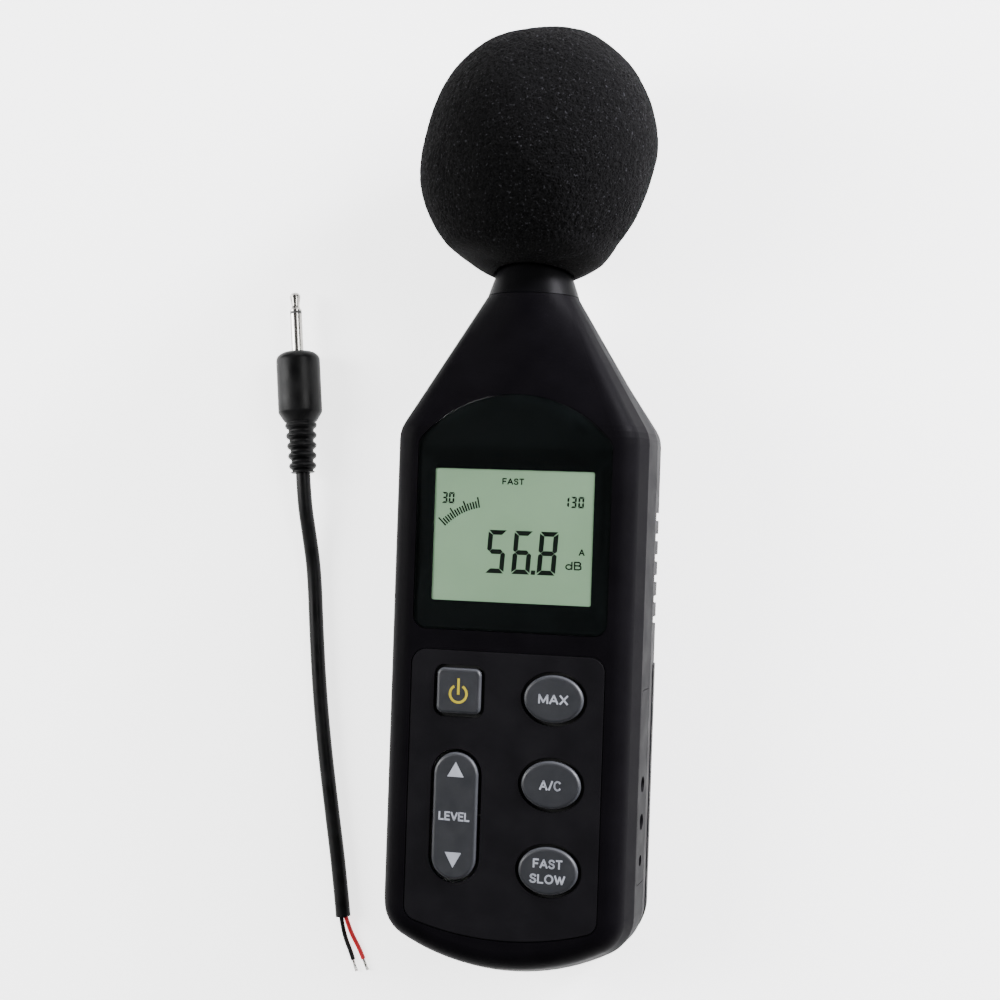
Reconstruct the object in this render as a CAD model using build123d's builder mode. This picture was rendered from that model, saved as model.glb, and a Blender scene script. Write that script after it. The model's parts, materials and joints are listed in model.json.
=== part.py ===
from build123d import *
import os
from math import acos, asin, atan2, cos, degrees, hypot, pi, radians, sin, sqrt, tan

os.makedirs("parts", exist_ok=True)

# A hand-held sound level meter lying on its back, with its output lead beside it.
# The meter's own frame: x across, y along the body towards the microphone, z out of the
# display, with y = 0 at the heel and z = 0 half way through the thickness. All in mm.

# Driving dimensions: casing
half_width = 35.2
front_z = 17.5            # display face
parting_z = -2.6          # joint between the two shells
seam = 0.15               # half the visible gap between the shells
rear_z = -16.9            # back of the rear shell
cover_z = -17.5           # back of the battery cover
neck_y = 183.4            # joint between the shells and the collar
neck_radius = 12.5
neck_inside = 10.2
shoulder_y = 146.0        # where the straight sides meet the taper
shoulder_round = 9.0
heel_arc = 60.0           # radius of the bottom edge
heel_round = 12.0
wall = 2.2
front_wall = 2.6
knee_z = 8.0              # crisp edge between the side wall and the crown
knee_in = 0.6
slope_angle = 72.0        # of the crown where it leaves the crisp edge
crown_round = 6.0
crown_hollow_lean = 22.2  # of the hollow behind the crown
rear_lean = 2.8
rear_round = 4.0

# Driving dimensions: display and keypad
window_half = 26.3
window_bottom = 92.7
window_side_top = 143.0
window_top = 155.8
pocket_depth = 1.2
lcd_half = 21.7
lcd_bottom = 100.4
lcd_top = 135.7
keypad_half = 26.3
keypad_top = 87.2
keypad_bottom = 10.9
keypad_arc = 80.0
key_x = 12.9
oval_ys = {"max_key": 75.7, "weighting_key": 53.1, "response_key": 30.5}
oval_size = (8.0, 6.3)
power_y = 76.4
power_size = 12.1
level_y = 43.1
level_length = 33.9
level_width = 12.1
key_gap = 0.95
key_top_z = 18.3
key_travel = 0.8
level_swing = 3.0

# Driving dimensions: inside
board_z = 7.2             # underside of the circuit board
board_thickness = 1.6
jack_z = 2.4
jack_low_z = -0.3
jack_ys = {"upper_jack": 52.6, "lower_jack": 42.5}
adjuster_y = 32.1
jack_bore = 1.8
jack_bore_end = 34.2      # where the bore starts to open out
cell_radius = 7.2
cell_pitch = 14.7
cell_z = -8.8
tray_bottom = 15.7
tray_top = 74.7
cover_top = 83.8
cover_seam_z = -9.6
cover_inset = 0.1         # of the cover's rim from the casing's widest outline
screw_spots = [(-26.0, 90.0), (26.0, 90.0), (-15.5, 157.0), (15.5, 157.0)]
board_screw_spots = [(-26.2, 24.0), (26.2, 24.0), (-25.0, 144.2), (25.0, 144.2)]
tripod_y = 104.0

# Driving dimensions: microphone and windscreen
ball_y = 222.3
ball_radius = 32.6
ball_half_length = 35.6
mic_radius = 6.35

# The meter lies on the windscreen and on the heel of the battery cover, so it leans.
heel_contact_z = cover_z + rear_round
heel_contact_y = (cover_seam_z - seam - heel_contact_z) * tan(radians(rear_lean))
heel_contact_y += cover_inset + rear_round / cos(radians(rear_lean))
reach = ball_y - heel_contact_y
lean = asin((ball_radius - rear_round) / hypot(reach, heel_contact_z))
lean -= atan2(-heel_contact_z, reach)
lift = rear_round - heel_contact_y * sin(lean) - heel_contact_z * cos(lean)
low_y = knee_in * cos(lean) - knee_z * sin(lean)
high_y = ball_y * cos(lean) + hypot(ball_half_length * cos(lean), ball_radius * sin(lean))
flat = Plane(
    origin=(0, -(low_y + high_y) / 2, lift),
    x_dir=(1, 0, 0),
    z_dir=(0, -sin(lean), cos(lean)),
)
long_axis = Axis(flat.origin, flat.y_dir)
out_axis = Axis(flat.origin, flat.z_dir)


def across(y):
    """Plane square to the long axis: sketch x across, sketch y out of the display."""
    return Plane(flat.from_local_coords((0, y, 0)), x_dir=flat.x_dir, z_dir=-flat.y_dir)


def beside(x):
    """Plane square to the width: sketch x along the body, sketch y out of the display."""
    return Plane(flat.from_local_coords((x, 0, 0)), x_dir=flat.y_dir, z_dir=flat.x_dir)


def behind(z):
    """Plane facing out of the back, with sketch y along the body."""
    return Plane(flat.from_local_coords((0, 0, z)), x_dir=-flat.x_dir, z_dir=-flat.z_dir)


# ---------------------------------------------------------------- shared casing forms
front_base = parting_z + seam
rear_base = parting_z - seam
front_lean = degrees(atan2(knee_in, knee_z - front_base))
shoulder_turn = degrees(atan2(half_width - neck_radius, neck_y - shoulder_y))
shoulder_start = shoulder_y - shoulder_round * tan(radians(shoulder_turn / 2))
heel_corner_y = heel_arc - sqrt(heel_arc**2 - half_width**2)


def plan_outline(end_y):
    """The casing seen from the front, with straight sides that stop at end_y."""
    with BuildSketch() as outline:
        with BuildLine():
            heel = ThreePointArc(
                (-half_width, heel_corner_y), (0, 0), (half_width, heel_corner_y)
            )
            Polyline(heel @ 1, (half_width, end_y), (-half_width, end_y), heel @ 0)
        make_face()
        fillet(outline.vertices().group_by(Axis.Y)[0], heel_round)
    return outline.sketch


plan = plan_outline(160)


def half_section(plane, width, base, height, knee, rounding, slope):
    """Half of the casing cut square to its length: wall, round-over and flat face."""
    toward = 1 if height > 0 else -1
    knee_x = width - knee[0]
    corner_x = knee_x - abs(height - knee[1]) / tan(radians(slope))
    run = rounding * tan(radians(slope / 2))
    round_x = corner_x + run * cos(radians(slope))
    round_z = height - toward * run * sin(radians(slope))
    with BuildSketch(plane) as section:
        with BuildLine():
            Polyline((-round_x, round_z), (-knee_x, knee[1]), (-width, base))
            Line((-width, base), (width, base))
            Polyline((width, base), (knee_x, knee[1]), (round_x, round_z))
            TangentArc((corner_x - run, height), (round_x, round_z), tangent=(1, 0))
            TangentArc((run - corner_x, height), (-round_x, round_z), tangent=(-1, 0))
            Line((run - corner_x, height), (corner_x - run, height))
        make_face()
    return section.sketch


def neck_section(plane, radius, base):
    """Half of the round neck, divided so that its pieces match half_section's."""
    toward = 1 if base > rear_base else -1
    stops = [20, 44, 82] if toward > 0 else [34, 58, 80]
    first = toward * degrees(asin(base / radius))
    angles = [first] + stops + [180 - stop for stop in reversed(stops)] + [180 - first]
    with BuildSketch(plane) as section:
        with BuildLine():
            for start, stop in zip(angles, angles[1:]):
                CenterArc((0, 0), radius, toward * start, toward * (stop - start))
            half_chord = radius * cos(radians(first))
            Line((-half_chord, base), (half_chord, base))
        make_face()
    return section.sketch


def shoulder_stations():
    """Where the shoulder's curve is cut: place along the body, half width, and run."""
    stations = []
    for step in range(4):
        turn = radians(shoulder_turn * step / 3)
        y = shoulder_start + shoulder_round * sin(turn)
        width = half_width - shoulder_round * (1 - cos(turn))
        stations.append((y, width, max(0.0, (y - shoulder_y) / (neck_y - shoulder_y))))
    return stations


def lofted_half(base, height, knee, rounding, slope):
    """The shoulders and the taper, up to the round neck, on one side of the joint."""
    sections = []
    for y, width, run in shoulder_stations():
        drop = run * (abs(height) - neck_radius)
        lowered = height - drop if height > 0 else height + drop
        knee_height = knee[1] - drop if height > 0 else knee[1] + drop
        sections.append(
            half_section(across(y), width, base, lowered, (knee[0], knee_height), rounding, slope)
        )
    sections.append(neck_section(across(neck_y), neck_radius, base))
    return sections


# Everything in front of the joint, as a solid
with BuildPart() as front_form:
    with BuildSketch(flat.offset(front_base)):
        add(plan)
    extrude(amount=knee_z - front_base, taper=front_lean)
    with BuildSketch(flat.offset(knee_z)):
        add(plan)
        offset(amount=-knee_in, mode=Mode.REPLACE)
    extrude(amount=front_z - knee_z, taper=90 - slope_angle)
    fillet(front_form.edges().group_by(out_axis)[-1], crown_round)
    split(bisect_by=across(shoulder_start), keep=Keep.TOP)
    loft(
        lofted_half(front_base, front_z, (knee_in, knee_z), crown_round, slope_angle),
        ruled=True,
    )

# Everything behind the joint, as a solid
rear_knee_z = -8.0
rear_knee_in = (rear_base - rear_knee_z) * tan(radians(rear_lean))
with BuildPart() as rear_form:
    with BuildSketch(behind(rear_base)):
        add(plan)
    extrude(amount=rear_base - rear_z, taper=rear_lean)
    fillet(rear_form.edges().group_by(out_axis)[0], rear_round)
    split(bisect_by=across(shoulder_start), keep=Keep.TOP)
    loft(
        lofted_half(rear_base, rear_z, (rear_knee_in, rear_knee_z), rear_round, 90 - rear_lean),
        ruled=True,
    )

# ---------------------------------------------------------------- outlines of the front face


def window_outline():
    """The display window: straight sides, round bottom corners and a domed top."""
    with BuildSketch() as outline:
        with BuildLine():
            dome = ThreePointArc(
                (window_half, window_side_top), (0, window_top), (-window_half, window_side_top)
            )
            Polyline(dome @ 1, (-window_half, window_bottom), (window_half, window_bottom), dome @ 0)
        make_face()
        corners = outline.vertices().group_by(Axis.Y)
        fillet(corners[0], 3.5)
        fillet(outline.vertices().group_by(Axis.Y)[-1], 4)
    return outline.sketch


def keypad_outline():
    """The keypad plate: round top corners and a bottom edge that follows the heel."""
    side_bottom = keypad_bottom + keypad_arc - sqrt(keypad_arc**2 - keypad_half**2)
    with BuildSketch() as outline:
        with BuildLine():
            low = ThreePointArc(
                (-keypad_half, side_bottom), (0, keypad_bottom), (keypad_half, side_bottom)
            )
            Polyline(low @ 1, (keypad_half, keypad_top), (-keypad_half, keypad_top), low @ 0)
        make_face()
        fillet(outline.vertices(), 4)
    return outline.sketch


def key_outline(name, grow=0.0):
    """One key seen from the front, or its outline grown all round."""
    with BuildSketch() as outline:
        with Locations(key_spots[name]):
            if name == "power_key":
                side = power_size + 2 * grow
                RectangleRounded(side, side, 1.8 + grow)
            elif name == "level_rocker":
                SlotOverall(level_length + 2 * grow, level_width + 2 * grow, rotation=90)
            else:
                Ellipse(oval_size[0] + grow, oval_size[1] + grow)
    return outline.sketch


def panel_outline(grow):
    """The jack panel seen from the side, open at the joint between the shells."""
    with BuildSketch() as outline:
        with BuildLine():
            Polyline(
                (panel_low - grow, front_base),
                (panel_high + grow, front_base),
                (panel_high + grow, panel_front + grow),
                (panel_low - grow, panel_front + grow),
                close=True,
            )
        make_face()
        fillet(outline.vertices().group_by(Axis.Y)[-1], 2.6)
    return outline.sketch


key_spots = {"power_key": (-key_x, power_y), "level_rocker": (-key_x, level_y)}
key_spots |= {name: (key_x, y) for name, y in oval_ys.items()}
panel_low = 26.0
panel_high = 78.0
panel_front = 7.2
panel_inner_x = 31.4
window = window_outline()
keypad = keypad_outline()
pocket_z = front_z - pocket_depth
ceiling_z = front_z - front_wall
boss_radius = 3.6
board_top = board_z + board_thickness
flange_grow = 1.5
flange_low_z = 14.8
flange_high_z = 16.1
pivot_z = 15.45
pivot_radius = 0.7

# ---------------------------------------------------------------- hollows inside the casing
def hollow_sections(base, ceiling, sink):
    """The hollow of the taper: a low box shape that turns into the round neck."""
    toward = 1 if ceiling > 0 else -1
    start_half = half_width - wall
    with BuildSketch(across(shoulder_start - 2)) as low_section:
        with BuildLine():
            Polyline(
                (-start_half, base),
                (-start_half + sink, ceiling),
                (start_half - sink, ceiling),
                (start_half, base),
                close=True,
            )
        make_face()
    first = degrees(asin(abs(base) / neck_inside)) * (1 if base * toward > 0 else -1)
    stops = [first, 55, 125, 180 - first]
    with BuildSketch(across(neck_y + 1)) as high_section:
        with BuildLine():
            for start, stop in zip(stops, stops[1:]):
                CenterArc((0, 0), neck_inside, toward * start, toward * (stop - start))
            half_chord = neck_inside * cos(radians(first))
            Line((-half_chord, base), (half_chord, base))
        make_face()
    return [low_section.sketch, high_section.sketch]


with BuildPart() as front_hollow:
    with BuildSketch(flat.offset(front_base)):
        add(plan)
        offset(amount=-wall, mode=Mode.REPLACE)
    extrude(amount=knee_z - front_base, taper=front_lean)
    with BuildSketch(flat.offset(knee_z)):
        add(plan)
        offset(amount=-wall - knee_in, mode=Mode.REPLACE)
    extrude(amount=ceiling_z - knee_z, taper=crown_hollow_lean)
    split(bisect_by=across(shoulder_start - 2), keep=Keep.TOP)
    loft(hollow_sections(front_base, ceiling_z, 4.2), ruled=True)

with BuildPart() as rear_hollow:
    with BuildSketch(behind(rear_base)):
        add(plan)
        offset(amount=-wall, mode=Mode.REPLACE)
    extrude(amount=rear_base - rear_z - 2, taper=rear_lean)
    split(bisect_by=across(shoulder_start - 2), keep=Keep.TOP)
    loft(hollow_sections(rear_base, rear_z + 2, 3.4), ruled=True)

# ---------------------------------------------------------------- casing
lip_height = 1.3
neck_post_top = 13.5
neck_post_low = -14.4
tray_floor_z = -0.4
tray_low_z = -14.4
tray_wall = 1.2
with BuildPart() as front_shell:
    add(front_form.part)
    add(front_hollow.part, mode=Mode.SUBTRACT)
    # Groove for the rear shell's lip
    with BuildSketch(flat.offset(front_base)):
        add(plan)
        offset(amount=-1.15, mode=Mode.REPLACE)
        with Locations((0, 150)):
            Rectangle(80, 30, mode=Mode.SUBTRACT)
    extrude(amount=lip_height, mode=Mode.SUBTRACT)
    # Posts for the shell screws and for the board screws
    for spot in screw_spots:
        post_top = ceiling_z + 0.3 if spot[1] < shoulder_y else neck_post_top
        with BuildSketch(flat.offset(front_base)):
            with Locations(spot):
                Circle(boss_radius)
        extrude(amount=post_top - front_base)
    with BuildSketch(flat.offset(board_top)):
        with Locations(*board_screw_spots):
            Circle(2.8)
    extrude(amount=ceiling_z - board_top + 0.5)
    with BuildSketch(flat.offset(front_base)):
        with Locations(*screw_spots):
            Circle(1.4)
    extrude(amount=9, mode=Mode.SUBTRACT)
    with BuildSketch(flat.offset(board_top)):
        with Locations(*board_screw_spots):
            Circle(1.1)
    extrude(amount=4.5, mode=Mode.SUBTRACT)
    # Window and keypad pockets, with their openings to the inside
    with BuildSketch(flat.offset(pocket_z)):
        add(window)
        add(keypad)
        offset(amount=0.15, mode=Mode.REPLACE)
    extrude(amount=pocket_depth + 1, mode=Mode.SUBTRACT)
    with BuildSketch(flat.offset(pocket_z)):
        with Locations((0, (lcd_bottom + lcd_top) / 2)):
            RectangleRounded(2 * lcd_half + 4.4, lcd_top - lcd_bottom + 4.4, 0.6)
    extrude(amount=-front_wall, mode=Mode.SUBTRACT)
    for name in key_spots:
        with BuildSketch(flat.offset(pocket_z)):
            add(key_outline(name, flange_grow + 0.6))
        extrude(amount=-front_wall, mode=Mode.SUBTRACT)
    with BuildSketch(flat.offset(pocket_z)):
        with Locations((-key_x, level_y)):
            Rectangle(level_width + 7.2, 2 * pivot_radius + 0.8)
    extrude(amount=-front_wall, mode=Mode.SUBTRACT)
    # The jack panel's opening and the collar's seat
    with BuildSketch(beside(half_width + 1)):
        add(panel_outline(seam))
    extrude(amount=-5, mode=Mode.SUBTRACT)
    with BuildSketch(across(neck_y + 1)):
        Circle(neck_inside)
    extrude(amount=8, mode=Mode.SUBTRACT)

with BuildPart() as rear_shell:
    add(rear_form.part)
    add(rear_hollow.part, mode=Mode.SUBTRACT)
    # Everything outside the battery tray gives way to the cover at the heel
    with BuildSketch(flat.offset(cover_seam_z)):
        with Locations((0, cover_top / 2 - 10)):
            Rectangle(80, cover_top + 20)
    extrude(amount=-10, mode=Mode.SUBTRACT)
    # Bulkhead above the cover, and the tray that holds the cells
    with BuildSketch(across(cover_top + 2)):
        with Locations((0, (rear_z + 1 + rear_base) / 2)):
            Rectangle(65.2, rear_base - rear_z - 1)
    extrude(amount=1.6)
    with BuildSketch(flat.offset(tray_floor_z)):
        with Locations((0, (tray_bottom + tray_top) / 2)):
            Rectangle(60 + 2 * tray_wall, tray_top - tray_bottom + 2 * tray_wall)
    extrude(amount=tray_low_z - tray_floor_z)
    with BuildSketch(flat.offset(tray_floor_z - 1.1)):
        with Locations((0, (tray_bottom + tray_top) / 2)):
            Rectangle(60, tray_top - tray_bottom)
    extrude(amount=-20, mode=Mode.SUBTRACT)
    # Side walls beside the tray, joined to it by a shelf
    with BuildSketch(flat.offset(rear_base)):
        add(plan)
        offset(amount=-wall + 0.3, mode=Mode.REPLACE)
        with Locations((0, (tray_bottom + tray_top) / 2)):
            Rectangle(62, tray_top - tray_bottom + 2, mode=Mode.SUBTRACT)
        with Locations((0, 130)):
            Rectangle(80, 2 * (130 - cover_top), mode=Mode.SUBTRACT)
    extrude(amount=-1.2)
    # Rails that hold the cover
    with BuildSketch(flat.offset(-13.6)):
        for side in (-1, 1):
            with Locations((side * 31.5, 45)):
                Rectangle(0.8, 50)
    extrude(amount=1)
    # Lip inside the joint
    with BuildSketch(flat.offset(rear_base - 1)):
        add(plan)
        offset(amount=-1.25, mode=Mode.REPLACE)
        add(offset(plan, amount=-wall, mode=Mode.PRIVATE), mode=Mode.SUBTRACT)
        with Locations((0, 150)):
            Rectangle(80, 30, mode=Mode.SUBTRACT)
        with Locations((half_width, (panel_low + panel_high) / 2)):
            Rectangle(10, panel_high - panel_low + 1, mode=Mode.SUBTRACT)
    extrude(amount=1 + 2 * seam + lip_height - 0.2)
    # Screw posts with sunk heads, and the block round the tripod nut
    for spot in screw_spots:
        post_low = rear_z + 1 if spot[1] < shoulder_y else neck_post_low
        with BuildSketch(flat.offset(rear_base)):
            with Locations(spot):
                Circle(4.4)
        extrude(amount=post_low - rear_base)
    with BuildSketch(flat.offset(rear_base)):
        with Locations(*screw_spots):
            Circle(1.6)
    extrude(amount=-20, mode=Mode.SUBTRACT)
    with BuildSketch(flat.offset(-9)):
        with Locations(*screw_spots):
            Circle(3.1)
    extrude(amount=-10, mode=Mode.SUBTRACT)
    with BuildSketch(flat.offset(rear_z)):
        with Locations((0, tripod_y)):
            Circle(7)
    extrude(amount=12)
    with BuildSketch(flat.offset(rear_z - 1)):
        with Locations((0, tripod_y)):
            Circle(4.6)
    extrude(amount=11, mode=Mode.SUBTRACT)
    # Grip notches along both rear edges
    with BuildSketch(flat.offset(-5)):
        for side in (-1, 1):
            with Locations((side * (half_width + 1.2), 110.2)):
                with GridLocations(0, 5.68, 1, 6):
                    Rectangle(5.4, 2.1)
    extrude(amount=-15, mode=Mode.SUBTRACT)
    with BuildSketch(across(neck_y + 1)):
        Circle(neck_inside)
    extrude(amount=8, mode=Mode.SUBTRACT)

# Sliding battery cover, wrapped round the heel
cover_side = 1.8
cover_back = 1.4
with BuildPart() as cover_hollow:
    with BuildSketch(behind(cover_seam_z - seam)):
        add(plan)
        offset(amount=-cover_inset - cover_side, mode=Mode.REPLACE)
    extrude(amount=cover_seam_z - seam - cover_z - cover_back, taper=rear_lean)
    fillet(cover_hollow.edges().group_by(out_axis)[0], rear_round - cover_side)

with BuildPart() as battery_cover:
    with BuildSketch(behind(cover_seam_z - seam)):
        add(plan)
        offset(amount=-cover_inset, mode=Mode.REPLACE)
    extrude(amount=cover_seam_z - seam - cover_z, taper=rear_lean)
    fillet(battery_cover.edges().group_by(out_axis)[0], rear_round)
    add(cover_hollow.part, mode=Mode.SUBTRACT)
    split(bisect_by=across(cover_top), keep=Keep.TOP)
    with BuildSketch(flat.offset(-12.2)):
        for side in (-1, 1):
            with Locations((side * 32.5, 45)):
                Rectangle(1.9, 46)
    extrude(amount=1)
    # Thumb grip: a shallow recess with ridges across it
    with BuildSketch(flat.offset(cover_z)):
        with Locations((0, 72)):
            RectangleRounded(24, 13, 3)
        with Locations((0, 72)):
            with GridLocations(0, 2.6, 1, 4):
                SlotOverall(19, 1.1, mode=Mode.SUBTRACT)
    extrude(amount=0.6, mode=Mode.SUBTRACT)

# ---------------------------------------------------------------- front fittings
with BuildPart() as display_window:
    with BuildSketch(flat.offset(pocket_z + 0.3)):
        add(window)
    extrude(amount=pocket_depth - 0.35)
    chamfer(display_window.edges().group_by(out_axis)[-1], 0.2)

with BuildPart() as window_mask:
    with BuildSketch(flat.offset(pocket_z)):
        add(window)
        with Locations((0, (lcd_bottom + lcd_top) / 2)):
            RectangleRounded(2 * lcd_half, lcd_top - lcd_bottom, 0.5, mode=Mode.SUBTRACT)
    extrude(amount=0.3)

with BuildPart() as keypad_plate:
    with BuildSketch(flat.offset(pocket_z)):
        add(keypad)
    extrude(amount=pocket_depth)
    chamfer(keypad_plate.edges().group_by(out_axis)[-1], 0.25)
    for name in key_spots:
        with BuildSketch(flat.offset(pocket_z)):
            add(key_outline(name, key_gap))
        extrude(amount=pocket_depth, mode=Mode.SUBTRACT)

keys = {}
for name, spot in key_spots.items():
    with BuildPart() as key:
        with BuildSketch(flat.offset(flange_low_z)):
            add(key_outline(name))
        extrude(amount=key_top_z - flange_low_z)
        fillet(key.edges().group_by(out_axis)[-1], 0.9)
        if name == "level_rocker":
            # Pivot stubs at mid length, and a push pad near each end
            with BuildSketch(beside(-key_x)):
                with Locations((level_y, pivot_z)):
                    Circle(pivot_radius)
            extrude(amount=level_width / 2 + 3, both=True)
            with BuildSketch(flat.offset(flange_low_z)):
                with Locations((-key_x, level_y - 11), (-key_x, level_y + 11)):
                    Circle(2)
        else:
            # Flange that keeps the key under the plate, and its push pad
            with BuildSketch(flat.offset(flange_low_z)):
                add(key_outline(name, flange_grow))
            extrude(amount=flange_high_z - flange_low_z)
            with BuildSketch(flat.offset(flange_low_z)):
                with Locations(spot):
                    Circle(2)
        extrude(amount=-0.8)
    keys[name] = key

dome_spots = [(-key_x, power_y), (-key_x, level_y - 11), (-key_x, level_y + 11)]
dome_spots += [(key_x, y) for y in oval_ys.values()]
mat_low_z = board_top + 0.4
pad_top_z = flange_low_z - 0.8 - key_travel - 0.3
with BuildPart() as keypad_mat:
    with BuildSketch(flat.offset(mat_low_z)):
        with Locations((0, 51.5)):
            RectangleRounded(46, 68, 4)
    extrude(amount=0.8)
    with BuildSketch(flat.offset(mat_low_z)):
        with Locations(*dome_spots):
            Circle(4.6)
    extrude(amount=pad_top_z - mat_low_z, taper=12)
    with BuildSketch(flat.offset(mat_low_z)):
        with Locations(*dome_spots):
            Circle(3.6)
    extrude(amount=pad_top_z - mat_low_z - 1.0, taper=12, mode=Mode.SUBTRACT)

with BuildPart() as switch_domes:
    for spot in dome_spots:
        dome_base = Plane(flat.offset(board_top).from_local_coords((*spot, 0)), z_dir=flat.z_dir)
        with BuildSketch(dome_base):
            Circle(3)
        extrude(amount=0.35, taper=45)

# Jack panel: a piece of the side wall, with its holes
with BuildPart() as jack_panel:
    add(front_form.part)
    with BuildSketch(beside(half_width + 1)):
        add(panel_outline(0))
    extrude(amount=-(half_width + 1 - panel_inner_x), mode=Mode.INTERSECT)
    with BuildSketch(beside(half_width + 1)):
        with Locations(*[(y, jack_z) for y in jack_ys.values()]):
            Circle(jack_bore)
        with Locations((adjuster_y, jack_z)):
            Circle(1.5)
    extrude(amount=-6, mode=Mode.SUBTRACT)
    # Each jack's hole opens out in a shallow cone
    with BuildSketch(beside(jack_bore_end)):
        with Locations(*[(y, jack_z) for y in jack_ys.values()]):
            Circle(jack_bore)
    extrude(amount=half_width - jack_bore_end, taper=-26, mode=Mode.SUBTRACT)

# ---------------------------------------------------------------- display and board
lcd_middle = (lcd_bottom + lcd_top) / 2
lcd_size = (47.0, 39.0)
holder_top_z = ceiling_z - 0.2
glass_top_z = pocket_z - 0.1
glass_low_z = glass_top_z - 2.6
with BuildPart() as lcd_glass:
    with BuildSketch(flat.offset(glass_low_z)):
        with Locations((0, lcd_middle)):
            Rectangle(*lcd_size)
    extrude(amount=glass_top_z - glass_low_z)
    chamfer(lcd_glass.edges().group_by(out_axis)[-1], 0.2)

with BuildPart() as lcd_holder:
    with BuildSketch(flat.offset(board_top)):
        with Locations((0, lcd_middle)):
            RectangleRounded(lcd_size[0] + 4, lcd_size[1] + 4, 1.5)
            Rectangle(lcd_size[0] + 0.4, lcd_size[1] + 0.4, mode=Mode.SUBTRACT)
    extrude(amount=holder_top_z - board_top)
    with BuildSketch(flat.offset(board_top)):
        with Locations((0, lcd_middle)):
            Rectangle(lcd_size[0] + 1, lcd_size[1] - 5)
            Rectangle(lcd_size[0] - 6, lcd_size[1] - 9, mode=Mode.SUBTRACT)
    extrude(amount=glass_low_z - board_top)

with BuildPart() as contact_strips:
    with BuildSketch(flat.offset(board_top)):
        with Locations((0, lcd_middle)):
            with GridLocations(0, lcd_size[1] - 2.4, 1, 2):
                Rectangle(lcd_size[0] - 2, 2.0)
    extrude(amount=glass_low_z - board_top)

with BuildPart() as main_board:
    with BuildSketch(flat.offset(board_z)):
        with BuildLine():
            Polyline(
                (-29, 21), (29, 21), (29, 143), (21.5, 151), (9, 169),
                (-9, 169), (-21.5, 151), (-29, 143), close=True,
            )
        make_face()
        with Locations(*screw_spots):
            Circle(boss_radius + 0.3, mode=Mode.SUBTRACT)
        with Locations(*board_screw_spots):
            Circle(1.2, mode=Mode.SUBTRACT)
    extrude(amount=board_thickness)

with BuildPart() as circuit_chips:
    for spot, size in (((-9, 112), (12, 12)), ((10, 124), (7, 9)), ((10, 98), (5, 6))):
        with BuildSketch(flat.offset(board_z)):
            with Locations(spot):
                Rectangle(*size)
        extrude(amount=-1.8, taper=6)

with BuildPart() as capacitors:
    with BuildSketch(flat.offset(board_z)):
        with Locations((-22, 104), (-22, 116), (22, 110), (-10, 140)):
            Circle(2.9)
    extrude(amount=-6)
    fillet(capacitors.edges().group_by(out_axis)[0], 0.6)

jacks = {}
for name, y in jack_ys.items():
    with BuildPart() as jack:
        with BuildSketch(beside(panel_inner_x)):
            with Locations((y, (jack_low_z + board_z) / 2)):
                Rectangle(6.6, board_z - jack_low_z)
        extrude(amount=-12.5)
        with BuildSketch(beside(panel_inner_x)):
            with Locations((y, jack_z)):
                Circle(jack_bore)
        extrude(amount=-11, mode=Mode.SUBTRACT)
    jacks[name] = jack

with BuildPart() as trimmer_body:
    with BuildSketch(beside(29.3)):
        with Locations((adjuster_y, (jack_low_z + board_z) / 2)):
            Rectangle(6.4, board_z - jack_low_z)
    extrude(amount=-5)
    with BuildSketch(beside(29.3)):
        with Locations((adjuster_y, jack_z)):
            Circle(1.05)
    extrude(amount=-2.5, mode=Mode.SUBTRACT)

with BuildPart() as trimmer_rotor:
    with BuildSketch(beside(29.4)):
        with Locations((adjuster_y, jack_z)):
            Circle(2.2)
    extrude(amount=1.4)
    with BuildSketch(beside(29.4)):
        with Locations((adjuster_y, jack_z)):
            Circle(1.0)
    extrude(amount=-2.2)
    with BuildSketch(beside(30.8)):
        with Locations((adjuster_y, jack_z)):
            Rectangle(0.6, 5)
    extrude(amount=-0.7, mode=Mode.SUBTRACT)

# ---------------------------------------------------------------- power
cell_length = 49.5
nub_length = 1.0
plate_thickness = 0.4
cells = {}
for index in range(4):
    x = (index - 1.5) * cell_pitch
    points_up = index % 2 == 0
    nub_end = tray_top - plate_thickness if points_up else tray_bottom + plate_thickness
    facing = -1 if points_up else 1
    end_plane = across(nub_end)
    with BuildPart() as cell:
        with BuildSketch(end_plane):
            with Locations((x, cell_z)):
                Circle(2.7)
        extrude(amount=-facing * nub_length)
        with BuildSketch(across(nub_end + facing * nub_length)):
            with Locations((x, cell_z)):
                Circle(cell_radius)
        extrude(amount=-facing * cell_length)
        wide = cell.edges().filter_by(GeomType.CIRCLE).filter_by(lambda e: e.radius > 5)
        fillet(wide, 0.8)
    cells[f"aa_cell_{index + 1}"] = cell

spring_wire = 0.35
spring_room = tray_top - tray_bottom - 2 * plate_thickness - nub_length - cell_length
with BuildPart() as battery_springs:
    for index in range(4):
        x = (index - 1.5) * cell_pitch
        points_up = index % 2 == 0
        y = tray_bottom + plate_thickness if points_up else tray_top - plate_thickness
        upward = 1 if points_up else -1
        foot = flat.from_local_coords((x, y + upward * (spring_wire + 0.02), cell_z))
        with BuildLine() as coil:
            Helix(
                pitch=1.8, height=spring_room - 2 * spring_wire - 0.04, radius=3.2,
                center=foot, direction=flat.y_dir * upward,
            )
        with BuildSketch(Plane(coil.line @ 0, z_dir=coil.line % 0)):
            Circle(spring_wire)
        sweep(path=coil.line, is_frenet=True)


def contact_plates(y, spans):
    """Flat contact plates across the end of the tray, one for each span of x."""
    with BuildSketch(across(y)) as plates:
        for low, high in spans:
            with Locations(((low + high) / 2, cell_z)):
                Rectangle(high - low, 11)
    return plates.sketch


with BuildPart() as lower_contacts:
    extrude(contact_plates(tray_bottom, [(-28.5, -1), (1, 28.5)]), amount=-plate_thickness)

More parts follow.
